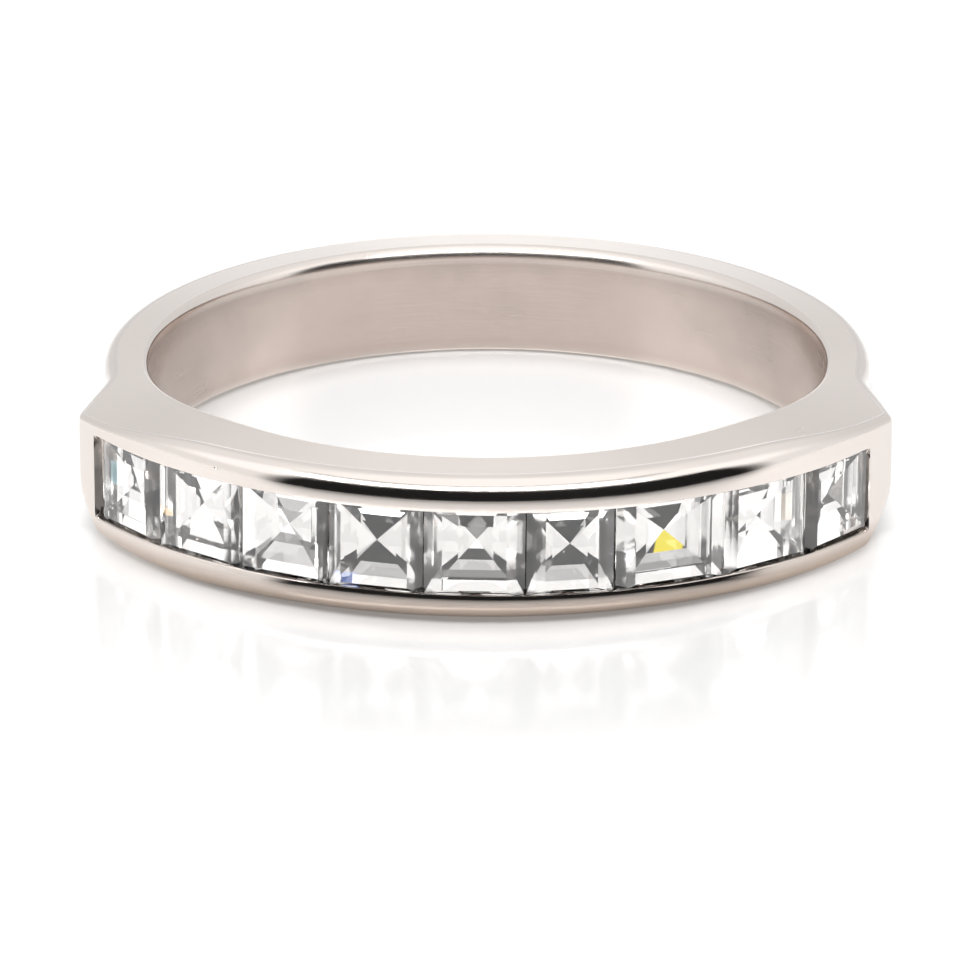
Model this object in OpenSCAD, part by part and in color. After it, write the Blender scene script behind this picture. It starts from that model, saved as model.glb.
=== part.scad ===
// Half eternity ring: one cast band whose wider head holds a channel of nine
// square step-cut stones. Sizes are in millimetres. The ring lies on its side:
// the finger hole runs along Z, the head faces -Y and the floor is at z = 0.

/* [Finger hole and shank] */
// Diameter of the finger hole
bore_d = 17; // [15.6:0.2:17.2]
// Width of the shank along the finger
shank_w = 2.84; // [2.6:0.02:3]
// Outer radius of the shank
shank_r = 9.6; // [9.5:0.02:9.64]
// How far the shank's outer circle is set back, which thickens the base
shank_shift = 0.3; // [0.2:0.02:0.4]
// Rounding of the shank's outer edges
shank_round = 0.34; // [0.1:0.02:0.5]

/* [Head] */
// Width of the head along the finger
head_w = 3.6; // [3.4:0.02:3.8]
// Radius of the head's outer face
head_r = 11.45; // [11.3:0.01:11.6]
// How far the centre of that face lies behind the finger hole's centre
head_shift = 1.15; // [1.1:0.01:1.2]
// Half of the head's length across the hand
head_half = 10; // [9.95:0.01:10.05]
// Depth of the rounding of a rail, across the head's face
rail_depth = 0.36; // [0.1:0.02:0.4]
// Height of the rounding of a rail, along the finger
rail_height = 0.78; // [0.3:0.02:0.9]

/* [Shoulders] */
// Half width of the ring where the shoulder ends
neck_half = 9.52; // [9.5:0.01:9.56]
// How far in front of the hole's centre the shoulder ends
neck_y = 2.2; // [1.8:0.1:2.6]
// Angle round the ring at the middle of the taper from head to shank
taper_angle = 64; // [62:1:66]
// Length of that taper
taper_len = 6.4; // [6:0.1:7]

/* [Channel] */
// Height of the opening between the two rails
opening_h = 2.12; // [2:0.02:2.16]
// How far the row of stones sits below the middle of the head
row_drop = 0.07; // [0:0.01:0.1]
// Angle by which the row dips towards +X, from the hand fitting of the channel
row_tilt = 0.55; // [0:0.05:0.6]
// Angle by which the row is set round the head towards +X
row_turn = -0.35; // [-0.6:0.05:0.6]
// Thickness of the lip that folds over the stones
lip_t = 0.1; // [0.08:0.01:0.1]
// How far the ends of the opening cover the two outer stones
end_lip = 0.12; // [0.08:0.01:0.16]
// Clearance between a stone and the metal
seat_gap = 0.03; // [0.02:0.01:0.04]

/* [Stones] */
// Height of every stone along the finger
stone_h = 2.4; // [2.38:0.01:2.42]
// How far the stones sit above the middle of the opening
stone_rise = 0.05; // [0.03:0.01:0.06]
// How far the tables lie below the head's face
table_drop = 0.11; // [0.11:0.01:0.12]
// Height of every table as a share of the stone's height
table_share = 0.76; // [0.72:0.01:0.76]
// Height of the crown
crown_h = 0.2; // [0.19:0.01:0.22]
// Thickness of the girdle
girdle_t = 0.04; // [0.03:0.01:0.05]
// Depth of the pavilion
pavilion_h = 1.28; // [1.24:0.01:1.3]
// Clearance under the point of a stone
culet_gap = 0.05; // [0.03:0.01:0.06]

/* [Hidden] */
$fn = 96;

// One row for each stone, from -X to +X: its width along the row, its table's
// width as a share of that, the place of its point off the middle along the
// row and upwards, and the size of its innermost step as a share of the stone
STONES = [
    // width, table, along, up, inner
    [2.33, 0.73, 0, 0.07, 0.36],
    [2.52, 0.74, -0.08, 0.12, 0.36],
    [2.37, 0.86, -0.03, 0.07, 0.36],
    [2.32, 0.71, -0.07, -0.05, 0.42],
    [2.43, 0.64, 0.04, 0.1, 0.35],
    [2.15, 0.6, 0.06, -0.05, 0.4],
    [2.86, 0.7, -0.02, 0.08, 0.38],
    [2.48, 0.8, -0.05, 0.02, 0.36],
    [2.39, 0.79, -0.1, 0.03, 0.36],
];
WIDTH = 0;
TABLE = 1;
ALONG = 2;
UP = 3;
INNER = 4;

// The first two pavilion steps: their slopes in degrees, and the share of the
// stone's size left after the first
GIRDLE_SLOPE = 50;
MIDDLE_SLOPE = 48;
FIRST_SIZE = 0.69;
// The crown's inner step: the share of the depth and the share of the size left
CROWN_STEP = [0.55, 0.5];

bore_r = bore_d / 2;
mid_z = head_w / 2;
row_z = mid_z - row_drop;
reach = 30;
past = 1;

girdle_r = head_r - table_drop - crown_h;
seat_r = girdle_r - girdle_t;
culet_r = seat_r - pavilion_h;
floor_r = culet_r - culet_gap;
first_depth = stone_h / 2 * (1 - FIRST_SIZE) * tan(GIRDLE_SLOPE);

// Angles that the stones take about the centre of the head's face
function half_angle(i) = atan((STONES[i][WIDTH] + seat_gap) / 2 / girdle_r);
function angle_before(i) = i <= 0 ? 0 : angle_before(i - 1) + 2 * half_angle(i - 1);
row_angle = angle_before(len(STONES));
row_start = row_turn - row_angle / 2;
function stone_angle(i) = row_start + angle_before(i) + half_angle(i);

// Points of a quarter ellipse from angle 0 to 90
function quarter(cx, cy, rx, ry, n, from = 0, to = 90) =
    [for (k = [0 : n]) let (a = from + (to - from) * k / n) [cx + rx * cos(a), cy + ry * sin(a)]];

// Half section of a disc of radius r and height h, centred on z = 0,
// with its two outer edges rounded
module disc_section(r, h, rx, ry, n) {
    polygon(concat(
        [[0, -h / 2]],
        quarter(r - rx, -h / 2 + ry, rx, -ry, n, 90, 0),
        quarter(r - rx, h / 2 - ry, rx, ry, n),
        [[0, h / 2]]));
}

// The head's block: its curved face, cut off at both ends by the shoulders
module head_block() {
    end_y = head_shift - sqrt(pow(head_r, 2) - pow(head_half, 2));
    intersection() {
        translate([0, head_shift, mid_z])
            rotate_extrude() disc_section(head_r, head_w, rail_depth, rail_height, 6);
        translate([0, 0, -past])
            linear_extrude(head_w + 2 * past)
                polygon([
                    [-neck_half, 0], [-neck_half, -neck_y], [-head_half, end_y], [-head_half, -reach],
                    [head_half, -reach], [head_half, end_y], [neck_half, -neck_y], [neck_half, 0]]);
    }
}

module shank_disc() {
    translate([0, shank_shift, mid_z])
        rotate_extrude() disc_section(shank_r, shank_w, shank_round, shank_round, 5);
}

// Space that the sides of the ring stay inside: full width at the head, a
// straight taper over each shoulder, and the shank's width behind
module side_envelope() {
    half = taper_len / 2;
    for (side = [-1, 1])
        intersection() {
            translate([side > 0 ? 0 : -reach, -reach, -past])
                cube([reach, 2 * reach, head_w + 2 * past]);
            // along the taper the polygon's first axis runs round the ring
            rotate([0, 0, side > 0 ? taper_angle : 180 - taper_angle])
                translate([0, reach, mid_z])
                    rotate([90, 0, 0])
                        linear_extrude(2 * reach)
                            polygon([
                                [-reach, -head_w / 2], [-half, -head_w / 2], [half, -shank_w / 2],
                                [half, shank_w / 2], [-half, head_w / 2], [-reach, head_w / 2]]);
        }
    translate([-reach, -reach, mid_z - shank_w / 2]) cube([2 * reach, 2 * reach, shank_w]);
}

// A section swept along the row, given by its upper half and mirrored below
module sweep(side, cover) {
    rotate([0, 0, row_start + cover - 90])
        rotate_extrude(angle = row_angle - 2 * cover)
            polygon(concat(side, [for (k = [len(side) - 1 : -1 : 0]) [side[k][0], -side[k][1]]]));
}

// The channel: an opening between the lips, a groove that the girdles sit in,
// a sloping seat and a trough for the points of the stones
module channel() {
    open = opening_h / 2;
    groove = stone_h / 2 + seat_gap;
    trough = stone_h / 2 * FIRST_SIZE + seat_gap;
    trough_r = seat_r - first_depth - seat_gap;
    lip_r = head_r - lip_t;
    translate([0, head_shift, row_z])
        rotate([0, row_tilt, 0]) {
            sweep([[lip_r - lip_t, open], [head_r + past, open]], atan(end_lip / head_r));
            translate([0, 0, stone_rise])
                sweep([[floor_r, trough], [trough_r, trough], [seat_r - seat_gap, groove],
                       [lip_r, groove]], 0);
        }
}

module band() {
    color("gainsboro")
        difference() {
            intersection() {
                union() {
                    head_block();
                    shank_disc();
                }
                side_envelope();
            }
            translate([0, 0, -past]) cylinder(r = bore_r, h = head_w + 2 * past);
            channel();
        }
}

// Four corners of one level of a stone: r is its distance from the centre of
// the head's face, w and h its size along and across the row, [x, z] its middle
function level(r, w, h, x = 0, z = 0) = [for (c = [[-1, -1], [1, -1], [1, 1], [-1, 1]])
    [x + c[0] * w / 2, -r, z + c[1] * h / 2]];

// A step-cut stone: table, two crown steps, girdle, three pavilion steps and
// a pointed culet
module stone(i) {
    s = STONES[i];
    w = s[WIDTH];
    table = [s[TABLE], table_share];
    step = table + ([1, 1] - table) * CROWN_STEP[1];
    inner_depth = first_depth + stone_h / 2 * (FIRST_SIZE - s[INNER]) * tan(MIDDLE_SLOPE);
    levels = [
        level(girdle_r + crown_h, w * table[0], stone_h * table[1]),
        level(girdle_r + crown_h * CROWN_STEP[0], w * step[0], stone_h * step[1]),
        level(girdle_r, w, stone_h),
        level(seat_r, w, stone_h),
        level(seat_r - first_depth, w * FIRST_SIZE, stone_h * FIRST_SIZE),
        level(seat_r - inner_depth, w * s[INNER], stone_h * s[INNER], s[ALONG] / 2, s[UP] / 2)];
    count = len(levels);
    corners = [for (l = levels) each l];
    point = [s[ALONG], -culet_r, s[UP]];
    color("azure")
        translate([0, head_shift, row_z])
            rotate([0, row_tilt, 0]) translate([0, 0, stone_rise]) rotate([0, 0, stone_angle(i)])
                polyhedron(
                    points = concat(corners, [point]),
                    faces = concat(
                        [[3, 2, 1, 0]],
                        [for (l = [0 : count - 2]) for (k = [0 : 3])
                            [4 * l + k, 4 * l + (k + 1) % 4, 4 * l + 4 + (k + 1) % 4, 4 * l + 4 + k]],
                        [for (k = [0 : 3])
                            [4 * (count - 1) + k, 4 * (count - 1) + (k + 1) % 4, 4 * count]]));
}

band();
stone(0);  // stone_1
stone(1);  // stone_2
stone(2);  // stone_3
stone(3);  // stone_4
stone(4);  // stone_5
stone(5);  // stone_6
stone(6);  // stone_7
stone(7);  // stone_8
stone(8);  // stone_9
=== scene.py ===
import math

import bpy
import numpy as np
from mathutils import Matrix, Vector


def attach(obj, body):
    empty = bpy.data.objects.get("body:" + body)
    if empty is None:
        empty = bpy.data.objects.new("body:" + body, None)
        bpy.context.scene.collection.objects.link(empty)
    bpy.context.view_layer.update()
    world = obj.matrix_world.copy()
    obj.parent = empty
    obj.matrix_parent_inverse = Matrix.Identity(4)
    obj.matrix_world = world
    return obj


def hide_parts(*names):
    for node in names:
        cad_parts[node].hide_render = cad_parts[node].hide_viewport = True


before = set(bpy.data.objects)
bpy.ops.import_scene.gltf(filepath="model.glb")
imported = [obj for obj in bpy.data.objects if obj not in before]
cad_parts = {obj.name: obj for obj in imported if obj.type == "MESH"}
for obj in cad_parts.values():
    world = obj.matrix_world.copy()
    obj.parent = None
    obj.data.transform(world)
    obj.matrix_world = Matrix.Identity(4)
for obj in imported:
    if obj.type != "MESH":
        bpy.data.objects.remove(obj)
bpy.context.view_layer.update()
mm = 0.001
rad = math.pi / 180           # one degree
degrees = 180 / math.pi       # one radian
print("frame loaded")


# Helpers for node trees

class Field:
    # a number in a node tree, so that shapes and masks can be written as formulas
    def __init__(self, tree, socket):
        self.tree = tree
        self.socket = socket

    def math(self, operation, *others):
        node = self.tree.nodes.new("ShaderNodeMath")
        node.operation = operation
        for slot, value in zip(node.inputs, (self, *others)):
            plug(value, slot)
        return Field(self.tree, node.outputs[0])

    __add__ = __radd__ = lambda self, other: self.math("ADD", other)
    __mul__ = __rmul__ = lambda self, other: self.math("MULTIPLY", other)
    __sub__ = lambda self, other: self.math("SUBTRACT", other)
    __rsub__ = lambda self, other: self * -1 + other
    __truediv__ = lambda self, other: self.math("DIVIDE", other)
    __neg__ = lambda self: self * -1


def plug(value, slot):
    if isinstance(value, Field):
        value.tree.links.new(value.socket, slot)
    else:
        slot.default_value = value


def ramp(value, low, high, start=0.0, end=1.0):
    # from start to end with soft ends, while value goes from low to high
    node = value.tree.nodes.new("ShaderNodeMapRange")
    node.interpolation_type = "SMOOTHSTEP"
    for name, number in zip(("Value", "From Min", "From Max", "To Min", "To Max"),
                            (value, low, high, start, end)):
        plug(number, node.inputs[name])
    return Field(value.tree, node.outputs[0])


def mix(a, b, share):
    return (b - a) * share + a


def window(value, low, high, soft):
    # 1 between low and high, 0 outside
    return ramp(value, low - soft, low + soft) * ramp(value, high + soft, high - soft)


def split(tree, socket):
    node = tree.nodes.new("ShaderNodeSeparateXYZ")
    tree.links.new(socket, node.inputs[0])
    return [Field(tree, out) for out in node.outputs]


def join(tree, *values):
    node = tree.nodes.new("ShaderNodeCombineXYZ")
    for value, slot in zip(values, node.inputs):
        plug(value, slot)
    return node.outputs[0]


def meshValue(tree, label):
    # a number that the mesh stores under this name
    node = tree.nodes.new("GeometryNodeInputNamedAttribute")
    node.data_type = "FLOAT"
    node.inputs["Name"].default_value = label
    return Field(tree, node.outputs["Attribute"])


def pick(index, values):
    # the value whose place in the list is index
    total = index * 0
    for number, value in enumerate(values):
        total = total + index.math("COMPARE", number, 0.5) * value
    return total


def throughStone(tree, path):
    # 1 on a ray that has gone through a stone, otherwise 0
    return ramp(Field(tree, path.outputs["Transmission Depth"]), 0.4, 0.6)


def newTree(name, inputs):
    # a Geometry Nodes tree with named inputs for sizes, and the same names as fields
    tree = bpy.data.node_groups.new(name, "GeometryNodeTree")
    tree.interface.new_socket("Geometry", in_out="INPUT", socket_type="NodeSocketGeometry")
    tree.interface.new_socket("Geometry", in_out="OUTPUT", socket_type="NodeSocketGeometry")
    for label in inputs:
        tree.interface.new_socket(label, in_out="INPUT", socket_type="NodeSocketFloat")
    tree.interface.new_socket("Material", in_out="INPUT", socket_type="NodeSocketMaterial")
    entry = tree.nodes.new("NodeGroupInput")
    fields = {label: Field(tree, entry.outputs[label]) for label in inputs}
    return tree, entry, fields


def closeTree(tree, entry, geometry):
    # every tree ends in Realize Instances and Set Material
    realize = tree.nodes.new("GeometryNodeRealizeInstances")
    finish = tree.nodes.new("GeometryNodeSetMaterial")
    out = tree.nodes.new("NodeGroupOutput")
    tree.links.new(geometry, realize.inputs[0])
    tree.links.new(realize.outputs[0], finish.inputs["Geometry"])
    tree.links.new(entry.outputs["Material"], finish.inputs["Material"])
    tree.links.new(finish.outputs[0], out.inputs[0])


def bake(name, mesh, tree, sizes, material):
    # runs the tree on the mesh and keeps the result as a plain mesh object
    obj = bpy.data.objects.new(name, mesh)
    bpy.context.scene.collection.objects.link(obj)
    modifier = obj.modifiers.new(tree.name, "NODES")
    modifier.node_group = tree
    for item in tree.interface.items_tree:
        if item.in_out == "INPUT" and item.name in sizes:
            modifier[item.identifier] = float(sizes[item.name])
        elif item.in_out == "INPUT" and item.name == "Material":
            modifier[item.identifier] = material
    bpy.context.view_layer.update()
    evaluated = obj.evaluated_get(bpy.context.evaluated_depsgraph_get())
    plain = bpy.data.meshes.new_from_object(evaluated)
    obj.modifiers.remove(modifier)
    obj.data = plain
    plain.name = name
    return obj


def geometryNode(tree, kind, links, values=(), **settings):
    node = tree.nodes.new(kind)
    for key, value in settings.items():
        setattr(node, key, value)
    for slot, socket in links.items():
        tree.links.new(socket.socket if isinstance(socket, Field) else socket, node.inputs[slot])
    for slot, value in dict(values).items():
        node.inputs[slot].default_value = value
    return node


# Camera: its view is fitted to the ring's edges in the photograph

camera = {
    "elevation": 19.63,       # degrees above the ring's plane
    "turn": 0.5,              # degrees round the ring, towards +X
    "distance": 200.0,        # mm from the middle of the finger hole
    "middleHeight": 1.8,      # mm from the floor up to that middle
    "focal": 7960.0,          # in pixels of the 962 pixel wide photograph
    "holePixel": (487.0, 408.0),   # where the middle of the finger hole shows
    "picture": (962, 961),
    "sensor": 36.0,           # mm
    "sees": (0.01, 10),       # nearest and farthest, metres
}


def placeCamera():
    up, turn = math.radians(camera["elevation"]), math.radians(camera["turn"])
    away = Vector((math.sin(turn) * math.cos(up), -math.cos(turn) * math.cos(up), math.sin(up)))
    data = bpy.data.cameras.new("camera")
    data.sensor_width = camera["sensor"]
    data.lens = camera["focal"] / camera["picture"][0] * data.sensor_width
    data.clip_start, data.clip_end = camera["sees"]
    obj = bpy.data.objects.new("camera", data)
    bpy.context.scene.collection.objects.link(obj)
    obj.location = Vector((0, 0, camera["middleHeight"] * mm)) + away * camera["distance"] * mm
    # the camera looks past the middle of the hole, so that the hole shows at its pixel
    right = math.atan((camera["holePixel"][0] - camera["picture"][0] / 2) / camera["focal"])
    down = math.atan((camera["picture"][1] / 2 - camera["holePixel"][1]) / camera["focal"])
    look = (-away).to_track_quat("-Z", "Y").to_matrix()
    aim = Matrix.Rotation(-down, 3, "X") @ Matrix.Rotation(right, 3, "Y")
    obj.rotation_euler = (look @ aim).to_euler()
    bpy.context.scene.camera = obj


placeCamera()


# World: a white tent with a dark gap at the camera and a row of tall lamps over it.
# Angles are in degrees, round from the camera or up from the horizon. A pair says
# where a part starts to fade in and where it is full.

studio = {
    "tent": 1.0,
    "seen": 1.05,             # what the camera sees behind the ring
    "front": 1.3,             # above the gap
    "frontSides": (110, 80),
    "frontRise": (20, 40),
    "top": 1.25,
    "topRise": (60, 75),
    "back": (0.79, 0.795, 0.80),      # what the flat upper side mirrors
    "backSides": (80, 130),
    "backRise": (60, 25),
    "backLow": 1.13,          # brighter in the middle, most so low down
    "backHigh": 0.94,
    "backStep": (18.2, 20.4), # from low to high
    "backTurn": 0.5,
    "backHalf": (3.0, 1.2),   # from the middle
    "gapLeft": 53.5,
    "gapRight": 70.0,
    "gapLow": -4.0,
    "gapHigh": 45.0,
    "gapSoft": (5.0, 2.5),    # round and up
    "gapLight": 0.015,
    "frameHeight": 65.5,      # a grey bar across the front of the tent
    "frameHalf": 2.6,
    "frameSides": (95, 75),
    "frameLight": 0.72,
    "lampLow": 49.0,
    "lampHigh": 60.0,
    "lampStep": 5.8,
    "lampHalf": 1.4,
    "lampSoft": 0.4,
    "lampLeft": 66.0,
    "lampRight": 52.0,
    "lampLight": 12.0,
    "stoneLight": 1.2,
}


def buildWorld():
    world = bpy.data.worlds.new("studio")
    bpy.context.scene.world = world
    world.use_nodes = True
    tree = world.node_tree
    tree.nodes.clear()
    place = tree.nodes.new("ShaderNodeTexCoord")
    x, y, z = split(tree, place.outputs["Generated"])
    height = z.math("ARCSINE") * degrees
    turn = x.math("ARCTAN2", -y) * degrees      # 0 at the camera's side
    away = turn.math("ABSOLUTE")
    softRound, softUp = studio["gapSoft"]
    gap = (window(turn, -studio["gapLeft"], studio["gapRight"], softRound)
           * window(height, studio["gapLow"], studio["gapHigh"], softUp))
    front = ramp(away, *studio["frontSides"]) * ramp(height, *studio["frontRise"])
    top = ramp(height, *studio["topRise"])
    back = ramp(away, *studio["backSides"]) * ramp(height, *studio["backRise"])
    sideways = ((x / y.math("MAXIMUM", 0.05)).math("ARCTANGENT") * degrees
                + studio["backTurn"]).math("ABSOLUTE")
    backMiddle = ramp(sideways, *studio["backHalf"]) * ramp(y, 0.0, 0.2)
    middle = ramp(height, *studio["backStep"], studio["backLow"], studio["backHigh"])
    bar = window(height, studio["frameHeight"] - studio["frameHalf"],
                 studio["frameHeight"] + studio["frameHalf"], 1.0)
    bar = bar * ramp(away, *studio["frameSides"])
    lampRow = window(turn, -studio["lampLeft"], studio["lampRight"], 0.5)
    across = ((turn / studio["lampStep"]).math("FRACT") - 0.5).math("ABSOLUTE") * studio["lampStep"]
    lampSides = ramp(across, studio["lampHalf"] + studio["lampSoft"],
                     studio["lampHalf"] - studio["lampSoft"])
    lamp = lampSides * lampRow * window(height, studio["lampLow"], studio["lampHigh"], 1.0)
    colour = []
    for behind in studio["back"]:
        level = mix(studio["tent"], studio["front"], front)
        level = mix(level, studio["top"], top)
        level = mix(level, mix(behind, middle, backMiddle), back)
        level = mix(level, studio["frameLight"], bar)
        level = mix(level, studio["gapLight"], gap)
        colour.append(level + lamp * studio["lampLight"])
    shade = tree.nodes.new("ShaderNodeBackground")
    plain = tree.nodes.new("ShaderNodeBackground")
    plain.inputs["Color"].default_value = (1, 1, 1, 1)
    plain.inputs["Strength"].default_value = studio["seen"]
    tree.links.new(join(tree, *colour), shade.inputs["Color"])
    path = tree.nodes.new("ShaderNodeLightPath")
    # light that has gone through a stone is stronger, which gives the stones their sparkle
    inStone = throughStone(tree, path)
    plug(inStone * (studio["stoneLight"] - 1) + 1, shade.inputs["Strength"])
    choose = tree.nodes.new("ShaderNodeMixShader")
    tree.links.new(path.outputs["Is Camera Ray"], choose.inputs[0])
    tree.links.new(shade.outputs[0], choose.inputs[1])
    tree.links.new(plain.outputs[0], choose.inputs[2])
    out = tree.nodes.new("ShaderNodeOutputWorld")
    tree.links.new(choose.outputs[0], out.inputs[0])
    world.cycles.sampling_method = "MANUAL"
    world.cycles.sample_map_resolution = 2048


buildWorld()
print("camera and studio done")


# Floor: a white sheet that touches the head's lower side and the back of the shank

floor = {
    "front": (-6.0, 0.0),     # y and z where the head rests, mm
    "back": (9.4, 0.38),      # y and z where the shank rests, mm
    "reach": 900.0,           # mm to each side
    "below": 0.01,            # mm of air under the ring
    "colour": (0.66, 0.658, 0.655),
    "glowColour": (1, 0.997, 0.992, 1),
    "glow": 0.23,             # on top of shadowGlow, outside the ring's shadow
    "shadowGlow": 0.16,
    "arcMiddle": 1.15,        # y of the middle of the head's arc, mm
    "shadowEdge": (10.95, 11.35),     # mm from there, where the shadow ends
    "shadowSide": (9.7, 10.2),        # mm to the left and right, where it ends too
    "holeEdge": (8.6, 7.2),   # mm from the middle of the finger hole
    "holeGlow": 1.35,         # share of the glow inside it
    "stoneGlow": 0.15,        # more of it for light that has gone through a stone
    "frontDim": 0.5,          # share of the glow that the metal doesn't mirror, in front
    "frontTurn": (60, 30),    # degrees from the head's middle
    "endDim": 0.18,           # the same beside the head's ends
    "endTurn": (60, 75),
    "endSide": (9, 11),       # mm
    "roughness": 0.3,
    "gloss": 0.12,            # roughness of the glossy coat
    "glossIor": 1.8,
}


def buildFloor():
    (y0, z0), (y1, z1) = floor["front"], floor["back"]
    slope = (z1 - z0) / (y1 - y0)
    far = floor["reach"]
    corners = [(x * mm, y * mm, (z0 + slope * (y - y0) - floor["below"]) * mm)
               for x, y in ((-far, -far), (far, -far), (far, far), (-far, far))]
    mesh = bpy.data.meshes.new("floor")
    mesh.from_pydata(corners, [], [(0, 1, 2, 3)])
    obj = bpy.data.objects.new("floor", mesh)
    bpy.context.scene.collection.objects.link(obj)
    material = bpy.data.materials.new("floor")
    material.use_nodes = True
    tree = material.node_tree
    shader = tree.nodes["Principled BSDF"]
    shader.inputs["Base Color"].default_value = (*floor["colour"], 1)
    shader.inputs["Emission Color"].default_value = floor["glowColour"]
    shader.inputs["Roughness"].default_value = floor["roughness"]
    shader.inputs["Coat Weight"].default_value = 1
    shader.inputs["Coat Roughness"].default_value = floor["gloss"]
    shader.inputs["Coat IOR"].default_value = floor["glossIor"]
    # the sheet glows a little, less so in the ring's shadow
    x, y, z = split(tree, tree.nodes.new("ShaderNodeTexCoord").outputs["Object"])
    fromArc = y - floor["arcMiddle"] * mm
    fromHead = (x * x + fromArc * fromArc).math("SQRT") / mm
    fromHole = (x * x + y * y).math("SQRT") / mm
    side = x.math("ABSOLUTE")
    glow = ramp(fromHead, *floor["shadowEdge"]).math(
        "MAXIMUM", ramp(side / mm, *floor["shadowSide"]))
    glow = glow.math("MAXIMUM", ramp(fromHole, *floor["holeEdge"]) * floor["holeGlow"])
    path = tree.nodes.new("ShaderNodeLightPath")
    inStone = throughStone(tree, path)
    # the metal mirrors it darker in front of the head, and a little so beside the head's ends
    mirrored = Field(tree, path.outputs["Is Glossy Ray"]) * (1 - inStone)
    bearing = side.math("ARCTAN2", -y) * degrees
    dim = ramp(bearing, *floor["frontTurn"]) * floor["frontDim"]
    endDim = ramp(bearing, *floor["endTurn"]) * ramp(side / mm, *floor["endSide"])
    dim = dim + endDim * floor["endDim"]
    glow = glow * (1 - dim * mirrored)
    plug(glow * floor["glow"] + floor["shadowGlow"] + inStone * floor["stoneGlow"],
         shader.inputs["Emission Strength"])
    mesh.materials.append(material)


buildFloor()
print("floor done")


# Band: one closed skin, swept round the finger hole by its own node tree

band = {
    "Bore radius": 8.5,
    "Middle height": 1.8,
    "Head radius": 11.45,
    "Head shift": 1.15,
    "Head half": 10.0,
    "Neck half": 9.54,
    "Neck place": 2.1,
    "Corner softness": 0.12,
    "Neck softness": 0.36,
    "Shank radius": 9.6,
    "Shank shift": 0.3,
    "Head half width": 1.8,
    "Shank half width": 1.42,
    "Left end up": 1.39,      # half heights of the outer edge at the head's ends
    "Right end up": 1.46,
    "Left end down": 1.44,
    "Right end down": 1.66,
    "Shank rounding": 0.34,
    "Rim rounding": 0.12,
    "Back rim rounding": 0.3,
    "Lower rim rounding": 0.07,
    "Corner cut low": 0.8,    # how far the head's ends draw in at the floor
    "Corner cut high": 0.12,
    "Edge rounding": 0.05,
    "Rail overhang": 22.0,    # degrees that a rail turns in at the channel
    "Opening half": 1.06,
    "Row drop": 0.07,
    "Row dip": 0.55,          # degrees
    "Row rise": 0.05,         # how far the stones sit above the opening's middle
    "Opening left": -61.5,    # where the opening ends, degrees round the hole
    "Opening right": 59.9,
    "Groove left": -61.95,    # where the groove ends
    "Groove right": 60.3,     # its wall here covers the edge of the last stone
}
zones = {                     # where one form goes over into the next, degrees round the hole
    "innerTaper": (40, 85),
    "outerTaper": (40, 68),
    "shank": (66, 88),
    "shankAlone": (1.6, 1.9), # the same in radians, where the head's arc no longer counts
    "overhang": (50, 22),
    "wideRail": (58, 20),
    "backRim": (90, 150),
    "cornerCut": (80, 68),
    "cornerTop": (1.0, 1.8),  # mm above the middle
}
endRailShare = 0.38           # rounding of a rail at the head's ends, as a share of the widest
shankEdge = 0.8               # half height that the channel's points close to on the shank, mm
# one row for each pair of points in the channel, above and below the middle
pocket = [                    # depth from the face, half height, 1 in the groove, place once closed
    (0.1, 1.06, 0, 0.15),
    (0.1, 1.23, 1, 0.36),
    (0.38, 1.23, 1, 0.57),
    (0.823, 0.858, 1, 0.78),
    (1.68, 0.858, 1, 1.0),
]
sectionCounts = {"bore": 10, "rim": 6, "face": 12, "rail": 36, "line": 2, "edge": 6}
stationRuns = [(0, 58, 100), (58, 72, 56), (72, 90, 30), (90, 180, 75)]     # from, to, count
nearEnds = (-0.12, -0.02, 0.02, 0.12)     # degrees to each side of an end of the channel
clearOfEnds = 0.16


def bandStations():
    # angles round the hole, close together where the head and the channel end
    ends = [band[side + way] for side in ("Opening ", "Groove ") for way in ("left", "right")]
    plain = np.concatenate([np.linspace(*run, endpoint=False) for run in stationRuns] + [[180.0]])
    near = [end + step for end in ends for step in nearEnds]
    turns = np.concatenate([-plain[-2:0:-1], plain])
    clear = np.min(np.abs(turns[:, None] - np.array(ends)), axis=1) > clearOfEnds
    return np.radians(np.sort(np.concatenate([turns[clear], near])))


def bandSection():
    # one row for each point: part, share along it, pocket depth, height, groove and closing, half
    upper = [(number, k / count, 0, 0, 0, 0)
             for number, count in enumerate(sectionCounts.values()) for k in range(count)]
    upper += [(len(sectionCounts), 0, *row) for row in pocket]
    # the bore part isn't mirrored, because it runs from one rim to the other
    lower = upper[:sectionCounts["bore"] - 1:-1]
    return np.array([(*row, 1.0) for row in upper] + [(*row, -1.0) for row in lower])


def bandSkin():
    turns, rows = bandStations(), bandSection()
    stations, points = len(turns), len(rows)
    index = np.arange(stations * points).reshape(stations, points)
    ahead, up = np.roll(index, -1, 0), np.roll(index, -1, 1)
    corner = np.roll(ahead, -1, 1)
    faces = np.stack([index, ahead, corner, up], 2).reshape(-1, 4)
    mesh = bpy.data.meshes.new("skin")
    mesh.from_pydata(np.zeros((stations * points, 3)).tolist(), [], faces.tolist())
    columns = {"turn": np.repeat(turns, points)}
    for column, label in enumerate(("part", "along", "depth", "height", "groove", "closed", "half")):
        columns[label] = np.tile(rows[:, column], stations)
    for label, values in columns.items():
        mesh.attributes.new(label, "FLOAT", "POINT").data.foreach_set("value", values.astype(np.float32))
    return mesh


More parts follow.
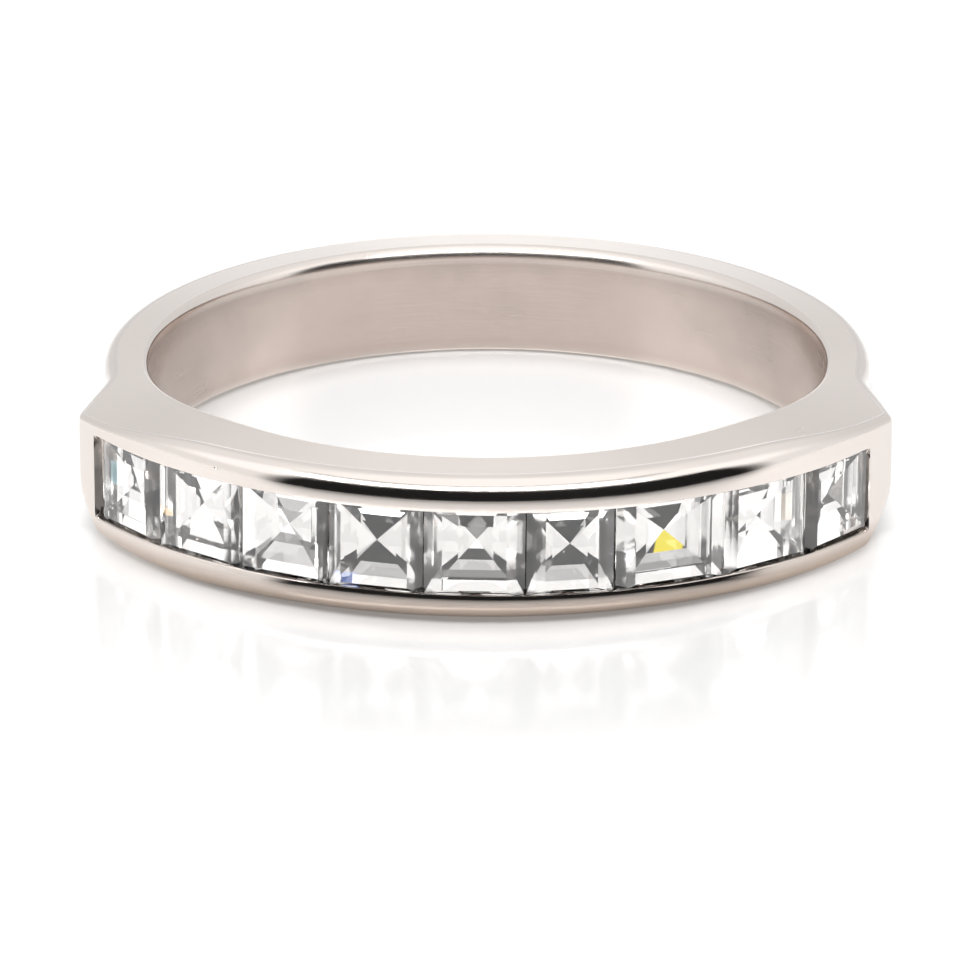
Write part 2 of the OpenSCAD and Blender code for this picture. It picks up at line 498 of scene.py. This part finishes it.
def bandTree():
    tree, entry, size = newTree("bandShape", list(band))
    turn, part, along, half = (meshValue(tree, label) for label in ("turn", "part", "along", "half"))

    # the shoulder is a straight line in plan, from the head's corner to the neck
    cornerY = (size["Head radius"] * size["Head radius"] - size["Head half"] * size["Head half"]
               ).math("SQRT") - size["Head shift"]
    runX, runY = size["Head half"] - size["Neck half"], cornerY - size["Neck place"]
    reach = size["Head half"] * runY - cornerY * runX

    def outerRadius(angle):
        across, ahead = angle.math("SINE").math("ABSOLUTE"), angle.math("COSINE")

        def circle(radius, shift):
            side = shift * across
            return (radius * radius - side * side).math("SQRT") - shift * ahead

        shoulder = reach / (runY * across - runX * ahead).math("MAXIMUM", 0.05)
        head = circle(size["Head radius"], size["Head shift"]).math(
            "SMOOTH_MIN", shoulder, size["Corner softness"])
        # the head's arc and shoulders count only in front of the shank's sides
        shank = circle(size["Shank radius"], size["Shank shift"])
        front = head.math("SMOOTH_MAX", shank, size["Neck softness"])
        return mix(front, shank, ramp(angle.math("ABSOLUTE"), *zones["shankAlone"]))

    radius = outerRadius(turn)
    # how much the radius grows with the angle, over a small step of it
    step = 0.002
    rise = (outerRadius(turn + step) - outerRadius(turn - step)) / (2 * step)
    length = (radius * radius + rise * rise).math("SQRT")
    away = turn.math("ABSOLUTE") / rad
    x = turn.math("SINE") * radius
    isRight, isUpper = ramp(turn, -0.02, 0.02), half.math("MAXIMUM", 0.0)

    # half heights of the ring's two sides, at the hole and at the outer edge
    taper = ramp(away, *zones["innerTaper"])
    inner = mix(size["Head half width"], size["Shank half width"], taper)
    endUp = mix(size["Left end up"], size["Right end up"], isRight)
    endDown = mix(size["Left end down"], size["Right end down"], isRight)
    endHeight = mix(endDown, endUp, isUpper)
    outer = mix(size["Head half width"], endHeight, ramp(away, *zones["outerTaper"]))
    onShank = ramp(away, *zones["shank"])
    outer = mix(outer, size["Shank half width"], onShank)

    # the row of stones and the channel's edges, which dip a little to the right
    rowHeight = -size["Row drop"] - x * (size["Row dip"] * rad).math("TANGENT")
    edge = size["Opening half"] + rowHeight * half
    edge = mix(edge, shankEdge, onShank)

    # a rail turns from the flat side over to the channel's edge
    overhang = size["Rail overhang"] * ramp(away, *zones["overhang"]) * rad
    share = mix(endRailShare, 1.0, ramp(away, *zones["wideRail"]))
    railRadius = (outer - edge) / (overhang.math("SINE") + 1) * share
    railRadius = mix(railRadius, size["Shank rounding"], onShank)
    railCentre = outer - railRadius
    railEndDepth = railRadius * (1 - overhang.math("COSINE"))
    railEndHeight = railCentre - railRadius * overhang.math("SINE")
    slope = overhang.math("TANGENT")
    soft = size["Edge rounding"]
    edgeTop = edge + soft * (1 - overhang.math("SINE"))
    edgeDepth = railEndDepth + (railEndHeight - edgeTop) * slope
    edgeCentre = edgeDepth + soft * overhang.math("COSINE")

    # each part of the section as depth from the outer face and height from the middle
    rim = mix(size["Rim rounding"], size["Back rim rounding"], ramp(away, *zones["backRim"]))
    rim = mix(size["Lower rim rounding"], rim, isUpper)
    swing = along * (math.pi / 2)
    opened = window(turn / rad, size["Opening left"], size["Opening right"], 0.01)
    hollow = window(turn / rad, size["Groove left"], size["Groove right"], 0.01)
    middle = rowHeight * half
    faceShare = 0.5 - (along * math.pi).math("COSINE") * 0.5
    railAngle = mix(math.pi / 2, -overhang, along)
    edgeAngle = mix(overhang, math.pi / 2, along)
    zero = along * 0
    depths = [
        zero, zero, zero,
        railRadius * (1 - railAngle.math("COSINE")),
        mix(railEndDepth, edgeDepth, along),
        mix(edgeDepth, edgeCentre - soft * edgeAngle.math("COSINE"), opened),
        mix(edgeDepth, meshValue(tree, "depth"), hollow)]
    # the bore part runs the whole way from the lower to the upper rim
    boreHeight = mix(size["Lower rim rounding"] - inner, inner - rim, along)
    # past its ends the channel closes up, and its points spread over the head's end
    groove = meshValue(tree, "groove")
    grooved = meshValue(tree, "height") + groove * half * size["Row rise"] + middle
    shut = mix(edge, middle, meshValue(tree, "closed"))
    channelHeight = mix(shut, grooved, mix(opened, hollow, groove))
    heights = [
        boreHeight,
        inner - rim + rim * swing.math("SINE"),
        mix(inner, outer, faceShare),
        railCentre + railRadius * railAngle.math("SINE"),
        mix(railEndHeight, edgeTop, along),
        edge + soft * (1 - edgeAngle.math("SINE")),
        channelHeight]

    depth, height = pick(part, depths), pick(part, heights)
    outward = radius - depth * radius / length
    sideways = depth * rise / length
    # the rim and the flat side run from the hole to where the rail begins
    rimRadius = size["Bore radius"] + rim * (1 - swing.math("COSINE"))
    railStart = radius - railRadius * radius / length
    faceRadius = mix(size["Bore radius"] + rim, railStart, faceShare)
    isBore, isRim, isFace = (part.math("COMPARE", number, 0.5) for number in (0, 1, 2))
    onOuter = 1 - (isBore + isRim + isFace)
    outward = (outward * onOuter + size["Bore radius"] * isBore + rimRadius * isRim
               + faceRadius * isFace)
    sideways = sideways * onOuter + railRadius * rise / length * faceShare * isFace

    # the head's ends round off towards the floor, and a little towards the top
    sine, cosine = turn.math("SINE"), turn.math("COSINE")
    placeX, level = outward * sine + sideways * cosine, height * half
    low = (-level).math("MAXIMUM", 0.0) / size["Head half width"]
    high = ramp(level, *zones["cornerTop"])
    cutBack = low * low * size["Corner cut low"] + high * size["Corner cut high"]
    cutBack = cutBack * ramp(away, *zones["cornerCut"])
    # the smooth limit draws the ends in by a little, which the added 0.03 mm makes up for
    limit = size["Head half"] + 0.03 - cutBack
    placeX = placeX.math("ABSOLUTE").math("SMOOTH_MIN", limit, 0.1) * placeX.math("SIGN")
    place = join(tree, placeX * mm, (sideways * sine - outward * cosine) * mm,
                 (size["Middle height"] + level) * mm)
    move = geometryNode(tree, "GeometryNodeSetPosition",
                        {"Geometry": entry.outputs["Geometry"], "Position": place})
    weld = geometryNode(tree, "GeometryNodeMergeByDistance", {"Geometry": move.outputs[0]},
                        {"Distance": 0.0002 * mm})
    closeTree(tree, entry, weld.outputs[0])
    return tree


# Stones: one cage of square levels, shaped into each step-cut stone by a node tree

row = {"start": -56.87, "gap": 0.03}     # where it begins, degrees, and between stones, mm
cut = {
    "Height": 2.4,
    "Table share": 0.84,      # of the height
    "Drop": 0.11,             # from the head's face down to the table
    "Crown": 0.2,
    "Crown step": 0.45,       # share of the crown's depth down to its inner step
    "Girdle": 0.04,
    "Pavilion": 1.28,
    "First size": 0.69,       # what the first pavilion step leaves of the stone
    "Girdle slope": 50.0,     # degrees
    "Middle slope": 48.0,
    "Face radius": band["Head radius"],
    "Head shift": band["Head shift"],
    "Middle height": band["Middle height"] - band["Row drop"] + band["Row rise"],
    "Row dip": band["Row dip"],
}
stoneColumns = ("Width", "Table", "Along", "Up", "Inner")
stones = [                    # width, table's share of it, place of the point, innermost step
    (2.33, 0.73, 0.0, 0.07, 0.36),
    (2.52, 0.74, -0.08, 0.12, 0.36),
    (2.37, 0.86, -0.03, 0.07, 0.36),
    (2.32, 0.71, -0.07, -0.05, 0.42),
    (2.43, 0.64, 0.04, 0.1, 0.35),
    (2.15, 0.6, 0.06, -0.05, 0.4),
    (2.86, 0.7, -0.02, 0.08, 0.38),
    (2.48, 0.8, -0.05, 0.02, 0.36),
    (2.39, 0.79, -0.1, 0.03, 0.36),
]
levelCount = 6


def stoneCage(number):
    corners = [(-1, -1), (1, -1), (1, 1), (-1, 1)]
    rows = [(level, x, z) for level in range(levelCount) for x, z in corners] + [(levelCount, 0, 0)]
    faces = [(0, 1, 2, 3)]
    for level in range(levelCount):
        for k in range(4):
            a, b = 4 * level + (k + 1) % 4, 4 * level + k
            faces.append((a, b, b + 4, a + 4) if level < levelCount - 1 else (a, b, 4 * levelCount))
    mesh = bpy.data.meshes.new("cage")
    mesh.from_pydata([(x, -level, z) for level, x, z in rows], [], faces)
    for label, values in zip(("level", "sideX", "sideZ"), np.array(rows, np.float32).T):
        mesh.attributes.new(label, "FLOAT", "POINT").data.foreach_set("value", values)
    # facet 0 is the table, then bottom, right, top and left on each level
    facets = 100.0 * number + np.arange(len(faces))
    mesh.attributes.new("facet", "FLOAT", "FACE").data.foreach_set("value", facets.astype(np.float32))
    return mesh


def stoneShape():
    tree, entry, size = newTree("stepCutStone", [*cut, *stoneColumns, "Angle"])
    level, sideX, sideZ = (meshValue(tree, label) for label in ("level", "sideX", "sideZ"))
    halfHeight = size["Height"] / 2
    first, inner = size["First size"], size["Inner"]
    firstDepth = halfHeight * (1 - first) * (size["Girdle slope"] * rad).math("TANGENT")
    middleSlope = (size["Middle slope"] * rad).math("TANGENT")
    innerDepth = firstDepth + halfHeight * (first - inner) * middleSlope
    girdle = size["Crown"] + size["Girdle"]

    # one entry for each level, from the table to the point
    across = [size["Table"], (size["Table"] + 1) / 2, 1, 1, first, inner, 0]
    upright = [size["Table share"], (size["Table share"] + 1) / 2, 1, 1, first, inner, 0]
    depths = [0, size["Crown"] * size["Crown step"], size["Crown"], girdle, girdle + firstDepth,
              girdle + innerDepth, girdle + size["Pavilion"]]
    # how far each level follows the point off the middle
    follow = pick(level, [0, 0, 0, 0, 0, 0.5, 1])
    x = sideX * pick(level, across) * size["Width"] / 2 + follow * size["Along"]
    z = sideZ * pick(level, upright) * halfHeight + follow * size["Up"]
    reach = size["Face radius"] - size["Drop"] - pick(level, depths)
    sine, cosine = (size["Angle"] * rad).math("SINE"), (size["Angle"] * rad).math("COSINE")
    right, ahead = x * cosine + reach * sine, x * sine - reach * cosine
    dipSine, dipCosine = (size["Row dip"] * rad).math("SINE"), (size["Row dip"] * rad).math("COSINE")
    place = join(tree, (right * dipCosine + z * dipSine) * mm, (ahead + size["Head shift"]) * mm,
                 (z * dipCosine - right * dipSine + size["Middle height"]) * mm)
    move = geometryNode(tree, "GeometryNodeSetPosition",
                        {"Geometry": entry.outputs["Geometry"], "Position": place})
    closeTree(tree, entry, move.outputs[0])
    return tree


def smoothShade(obj, angle):
    mesh = obj.data
    mesh.shade_smooth()
    mesh.set_sharp_from_angle(angle=math.radians(angle))


# Materials

def noise(tree, vector, scale, detail=2.0, roughness=0.5):
    node = tree.nodes.new("ShaderNodeTexNoise")
    tree.links.new(vector, node.inputs["Vector"])
    node.inputs["Scale"].default_value = scale
    node.inputs["Detail"].default_value = detail
    node.inputs["Roughness"].default_value = roughness
    return Field(tree, node.outputs[0])


def blend(tree, a, b, share):
    # a mix of two colours
    node = tree.nodes.new("ShaderNodeMix")
    node.data_type = "RGBA"
    plug(share, node.inputs[0])
    for value, slot in ((a, node.inputs[6]), (b, node.inputs[7])):
        if isinstance(value, tuple):
            slot.default_value = (*value, 1)
        else:
            tree.links.new(value, slot)
    return node.outputs[2]


def newEffect(name, inputs, outputs):
    # a shader node group with named inputs and outputs
    tree = bpy.data.node_groups.new(name, "ShaderNodeTree")
    for label, kind in inputs.items():
        tree.interface.new_socket(label, in_out="INPUT", socket_type="NodeSocket" + kind)
    for label, kind in outputs.items():
        tree.interface.new_socket(label, in_out="OUTPUT", socket_type="NodeSocket" + kind)
    return tree, tree.nodes.new("NodeGroupInput").outputs, tree.nodes.new("NodeGroupOutput").inputs


polish = {                    # scales are for one mm
    "lineTurn": 2.2,          # scale of the lines round the hole
    "cloud": 0.55,
    "hairs": ((0.5, 0.35), (-0.9, 0.3)),      # direction in radians, scale lengthwise
    "hairScale": 9,
    "hairApart": 7.3,
    "hairWidth": (0.006, 0.001),
    "sparse": 1.3,
    "sparseFrom": (0.6, 0.7),
}


def polishLines():
    # fine lines that a buffing wheel leaves along the band, and stray hairline scratches
    tree, given, result = newEffect(
        "polishLines", {"Place": "Vector", "Fineness": "Float", "Scratches": "Float"},
        {"Lines": "Float", "Cloud": "Float", "Scratch": "Float"})
    x, y, z = split(tree, given["Place"])
    fineness = Field(tree, given["Fineness"])
    distance = (x * x + y * y).math("SQRT")
    turn = x.math("ARCTAN2", -y)
    along = join(tree, distance * fineness, z * fineness, turn * polish["lineTurn"])
    lines = noise(tree, along, 1.0, 3, 0.7)
    cloud = noise(tree, given["Place"], polish["cloud"], 3, 0.55)
    hair, scale = 0, polish["hairScale"]
    for number, (tilt, stretch) in enumerate(polish["hairs"]):
        u = x * math.cos(tilt) + y * math.sin(tilt)
        v = y * math.cos(tilt) - x * math.sin(tilt)
        lengthwise = v * stretch + number * polish["hairApart"]
        field = noise(tree, join(tree, u * scale, lengthwise, z * scale), 1.0, 0)
        hair = ramp((field - 0.5).math("ABSOLUTE"), *polish["hairWidth"]) + hair
    sparse = ramp(noise(tree, given["Place"], polish["sparse"], 1), *polish["sparseFrom"])
    scratch = (hair * sparse).math("MINIMUM", 1.0) * Field(tree, given["Scratches"])
    for label, value in (("Lines", lines), ("Cloud", cloud), ("Scratch", scratch)):
        plug(value, result[label])
    return tree


gold = {
    "polished": (0.81, 0.745, 0.70),
    "bright": (0.95, 0.90, 0.86),      # painted highlight on the flat side at the back
    "satinShade": (0.66, 0.565, 0.515),     # inside the finger hole, darker as painted shade
    # painted deeper shade, towards the hole's sides and upper edge
    "deepShade": (0.50, 0.443, 0.41),
    "recessShade": (0.30, 0.265, 0.245),    # painted shade in the channel around the stones
    # painted shade on the narrow flat where the rail begins
    "flat": (0.76, 0.70, 0.66),
    # painted reflection of the ring's shadow on the floor, on the lower rail's underside
    "reflectedShadow": (0.40, 0.32, 0.265),
    "roughness": 0.07,
    "boreRoughness": 0.26,
    "rimRoughness": 0.2,
    "flatRoughness": 0.36,
    "brushing": 0.85,
}
# where the metal changes, and where shade and highlights are painted on it. A pair says where a change
# starts and where it is full, three numbers say from, to and how soft. Parts and sections are counted
# along the band's section, heights are in mm from the floor, and other pairs are degrees from the head's
# middle.
metal = {
    "insidePart": (1.0, 0.1),
    "flatSection": (1.98, 3.0, 0.03),
    "rimPart": (0.6, 1.7, 0.3),
    "rimBack": (90, 140),
    # painted shade in the finger hole: where it deepens and where it lifts
    "shadeFront": (60, 95),
    "shadeBack": (150, 115),
    "shadeSides": 0.75,
    "shadeHeight": (2.2, 3.2),
    "shadeTop": 0.75,
    "liftHeight": (1.5, 0.6),
    "liftLow": 0.3,
    "shadeCloud": 1.1,
    "creaseSection": (2.98, 3.06, 0.015),
    "creaseTurn": (25, 40),
    "headEnd": (75, 66),
    "highlightBack": (95, 145),
    "recessPart": (5.6, 6.0),
    "recessPast": 0.1,        # degrees beyond the opening
    "lipTurn": (34, 44),
    "lipHeight": (1.4, 1.0),
    "lip": 0.85,
    "narrowSection": (3.09, 3.2, 0.02),
    "narrowShade": 0.6,
    "underHeight": (0.85, 0.15),
    "underPart": (2.4, 3.0),
    "underTurn": (75, 62),
    "under": 0.95,
    "deepSection": (3.035, 3.06, 0.02),
    "shallowSection": (3.17, 3.18, 0.02),
    "upperHeight": (3.0, 3.1),
}
wear = {                      # mm
    "fineness": 26,           # polishing lines for one mm
    "scratches": 0.35,        # how strongly the hairline scratches count
    "lineRough": 0.05,        # roughness added
    "cloudRough": 0.05,
    "scratchRough": 0.1,
    "leastRough": 0.02,
    "lineDepth": 0.0012,
    "deepGroove": 0.005,      # beside the narrow flat where the rail begins
    "shallowGroove": 0.0016,
    "hook": [(7.5, -6.45, 55, 0.4), (7.5, -6.45, -20, 0.35)],   # start's x and y, degrees, length
    "hookHalf": 0.02,
    "hookDepth": 0.04,
    "pit": (-6.45, 3.21, 0.05),     # x, z and radius
    "pitDepth": 0.03,
}


def whiteGold():
    material = bpy.data.materials.new("whiteGold")
    material.use_nodes = True
    tree = material.node_tree
    shader = tree.nodes["Principled BSDF"]
    shader.inputs["Metallic"].default_value = 1
    place = tree.nodes.new("ShaderNodeTexCoord").outputs["Object"]
    inMm = tree.nodes.new("ShaderNodeVectorMath")
    inMm.operation = "SCALE"
    inMm.inputs["Scale"].default_value = 1000
    tree.links.new(place, inMm.inputs[0])
    spot = inMm.outputs[0]
    x, y, z = split(tree, spot)
    side = x.math("ARCTAN2", -y) * degrees
    turn = side.math("ABSOLUTE")
    part, along = (tree.nodes.new("ShaderNodeAttribute") for k in range(2))
    part.attribute_name, along.attribute_name = "part", "along"
    part, along = Field(tree, part.outputs["Fac"]), Field(tree, along.outputs["Fac"])
    section = part + along
    inside = ramp(part, *metal["insidePart"])
    flat = window(section, *metal["flatSection"])
    rim = window(part, *metal["rimPart"])
    onHead = ramp(turn, *metal["headEnd"])

    marks = tree.nodes.new("ShaderNodeGroup")
    marks.node_tree = polishLines()
    tree.links.new(spot, marks.inputs["Place"])
    marks.inputs["Fineness"].default_value = wear["fineness"]
    marks.inputs["Scratches"].default_value = wear["scratches"]
    lines, cloud, scratch = (Field(tree, out) for out in marks.outputs)
    scratch = scratch * flat                # the rails are polished clean

    # the finger hole is satin, with painted shade that darkens it towards its sides and its upper edge
    # and less so low down
    shadeShare = ramp(turn, *metal["shadeFront"]) * ramp(turn, *metal["shadeBack"]) * metal["shadeSides"]
    shadeShare = shadeShare + ramp(z, *metal["shadeHeight"]) * metal["shadeTop"]
    shadeShare = shadeShare - ramp(z, *metal["liftHeight"]) * metal["liftLow"]
    shadeShare = shadeShare + (cloud - 0.5) * metal["shadeCloud"]
    shadeShare = shadeShare.math("MAXIMUM", 0.0).math("MINIMUM", 1.0)
    satinShade = blend(tree, gold["satinShade"], gold["deepShade"], shadeShare)
    # painted highlights: a line along the crease between the flat side and the rail, and the flat side
    # towards the back
    crease = window(section, *metal["creaseSection"]) * ramp(turn, *metal["creaseTurn"]) * onHead
    bright = (flat * ramp(turn, *metal["highlightBack"])).math("MAXIMUM", crease)
    colour = blend(tree, gold["polished"], gold["bright"], bright)
    colour = blend(tree, colour, satinShade, inside)
    # painted shade in the channel and on the edges of its opening
    past = metal["recessPast"]
    recessShade = ramp(part, *metal["recessPart"]) * window(
        side, band["Opening left"] - past, band["Opening right"] + past, past)
    # the painted shade is taken off the lower lip towards the head's ends
    lip = ramp(turn, *metal["lipTurn"]) * ramp(z, *metal["lipHeight"]) * metal["lip"]
    recessShade = recessShade * (1 - lip)
    colour = blend(tree, colour, gold["recessShade"], recessShade)
    # a narrow flat that the wheel left where the rail begins, with painted shade on it, and the lower
    # rail's brown side, a painted reflection of the ring's shadow on the floor
    narrowShade = window(section, *metal["narrowSection"]) * metal["narrowShade"]
    # painted reflection of the ring's shadow, brown on the lower rail's underside near the floor
    under = ramp(z, *metal["underHeight"]) * ramp(part, *metal["underPart"])
    under = under * ramp(turn, *metal["underTurn"]) * metal["under"]
    colour = blend(tree, colour, gold["flat"], narrowShade)
    colour = blend(tree, colour, gold["reflectedShadow"], under)
    tree.links.new(colour, shader.inputs["Base Color"])
    rough = mix(gold["roughness"], gold["boreRoughness"], inside)
    rough = mix(rough, gold["rimRoughness"], rim * ramp(turn, *metal["rimBack"]))
    rough = mix(rough, gold["flatRoughness"], flat)
    rough = rough + (lines - 0.5) * wear["lineRough"] + (cloud - 0.5) * wear["cloudRough"]
    rough = rough + scratch * wear["scratchRough"]
    plug(rough.math("MAXIMUM", wear["leastRough"]), shader.inputs["Roughness"])
    # the flat sides are brushed round the hole, which spreads their shine outwards
    shader.inputs["Anisotropic"].default_value = gold["brushing"]
    tree.links.new(join(tree, x, y, z * 0), shader.inputs["Tangent"])
    bump = tree.nodes.new("ShaderNodeBump")
    bump.inputs["Strength"].default_value = 1
    bump.inputs["Distance"].default_value = mm
    groove = (window(section, *metal["deepSection"]) * wear["deepGroove"]
              + window(section, *metal["shallowSection"]) * wear["shallowGroove"])
    height = lines * wear["lineDepth"] - scratch * wear["lineDepth"] - groove * onHead
    # the hooked scratch and the small pit
    upper = ramp(z, *metal["upperHeight"])
    for startX, startY, heading, length in wear["hook"]:
        cosine, sine = math.cos(math.radians(heading)), math.sin(math.radians(heading))
        reach = (x - startX) * cosine + (y - startY) * sine
        aside = (y - startY) * cosine - (x - startX) * sine
        stroke = window(reach, 0, length, 0.02) * window(aside, -wear["hookHalf"], wear["hookHalf"], 0.01)
        height = height - stroke * flat * upper * wear["hookDepth"]
    pitX, pitZ, pitRadius = wear["pit"]
    fromPit = ((x - pitX) * (x - pitX) + (z - pitZ) * (z - pitZ)).math("SQRT")
    height = height - ramp(fromPit, pitRadius, 0) * ramp(y, 0, -1) * wear["pitDepth"]
    plug(height, bump.inputs["Height"])
    tree.links.new(bump.outputs[0], shader.inputs["Normal"])
    return material


flashes = [                   # stone, facet, x or z, from, to in mm, colour
    (7, 21, "x", 3.8, 4.5, (0.95, 0.80, 0.02)),
    (4, 13, "x", -3.35, -2.95, (0.02, 0.08, 0.34)),
    (2, 16, "z", 1.5, 1.7, (0.5, 0.28, 0.04)),
    (1, 20, "z", 1.7, 2.3, (0.10, 0.24, 0.27)),
    (8, 18, "z", 1.5, 2.2, (0.20, 0.16, 0.10)),
]
gem = {
    "colour": (0.985, 0.965, 0.945, 1),
    "ior": 2.42,
    "frost": 0.14,            # roughness of the frosted facets
    "flashSoft": 0.03,        # mm
    "flashDepth": (1.6, 1.4), # bounces before the facet, so one at most
}


def diamond():
    material = bpy.data.materials.new("diamond")
    material.use_nodes = True
    tree = material.node_tree
    shader = tree.nodes["Principled BSDF"]
    shader.inputs["Base Color"].default_value = gem["colour"]
    shader.inputs["IOR"].default_value = gem["ior"]
    shader.inputs["Transmission Weight"].default_value = 1
    x, y, z = split(tree, tree.nodes.new("ShaderNodeTexCoord").outputs["Object"])
    facet = tree.nodes.new("ShaderNodeAttribute")
    facet.attribute_name = "facet"
    facet = Field(tree, facet.outputs["Fac"])
    # frosted a little: the crown's left and right, the top of its outer step and the girdle
    kind = facet.math("MODULO", 100.0)
    frost = kind.math("COMPARE", 2, 0.5) + kind.math("COMPARE", 4, 0.5)
    frost = (frost + window(kind, 5.5, 12.5, 0.1)).math("MINIMUM", 1.0)
    plug(frost * gem["frost"], shader.inputs["Roughness"])
    # a few facets glow in a colour, as painted flashes of fire
    colour = (0.0, 0.0, 0.0)
    for stone, number, axis, low, high, shade in flashes:
        place = (x if axis == "x" else z) / mm
        spot = facet.math("COMPARE", 100 * stone + number, 0.5)
        spot = spot * window(place, low, high, gem["flashSoft"])
        colour = blend(tree, colour, shade, spot)
    # only where the eye meets the facet at once, not in other facets' reflections
    depth = Field(tree, tree.nodes.new("ShaderNodeLightPath").outputs["Ray Depth"])
    colour = blend(tree, (0.0, 0.0, 0.0), colour, ramp(depth, *gem["flashDepth"]))
    tree.links.new(colour, shader.inputs["Emission Color"])
    shader.inputs["Emission Strength"].default_value = 1
    return material


goldMaterial = whiteGold()
diamondMaterial = diamond()

bandPiece = bake("polished_band", bandSkin(), bandTree(), band, goldMaterial)
smoothShade(bandPiece, 32)
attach(bandPiece, "root")
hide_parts("band")
print("band done", len(bandPiece.data.polygons), "faces")

stoneTree = stoneShape()
girdleRadius = cut["Face radius"] - cut["Drop"] - cut["Crown"]
angle = row["start"]
for number, sizes in enumerate(stones, 1):
    # the first column is the width
    halfAngle = math.degrees(math.atan((sizes[0] + row["gap"]) / 2 / girdleRadius))
    values = {**cut, **dict(zip(stoneColumns, sizes)), "Angle": angle + halfAngle}
    angle += 2 * halfAngle
    stone = bake("cut_stone_%d" % number, stoneCage(number), stoneTree, values, diamondMaterial)
    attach(stone, "root")
    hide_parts("stone_%d" % number)
print("stones done")

scene = bpy.context.scene
scene.view_settings.view_transform = "Standard"
scene.cycles.max_bounces = 20
scene.cycles.transmission_bounces = 18
scene.cycles.glossy_bounces = 10
scene.cycles.diffuse_bounces = 3
scene.cycles.use_denoising = True
scene.cycles.blur_glossy = 0
scene.cycles.caustics_refractive = True
scene.cycles.caustics_reflective = True
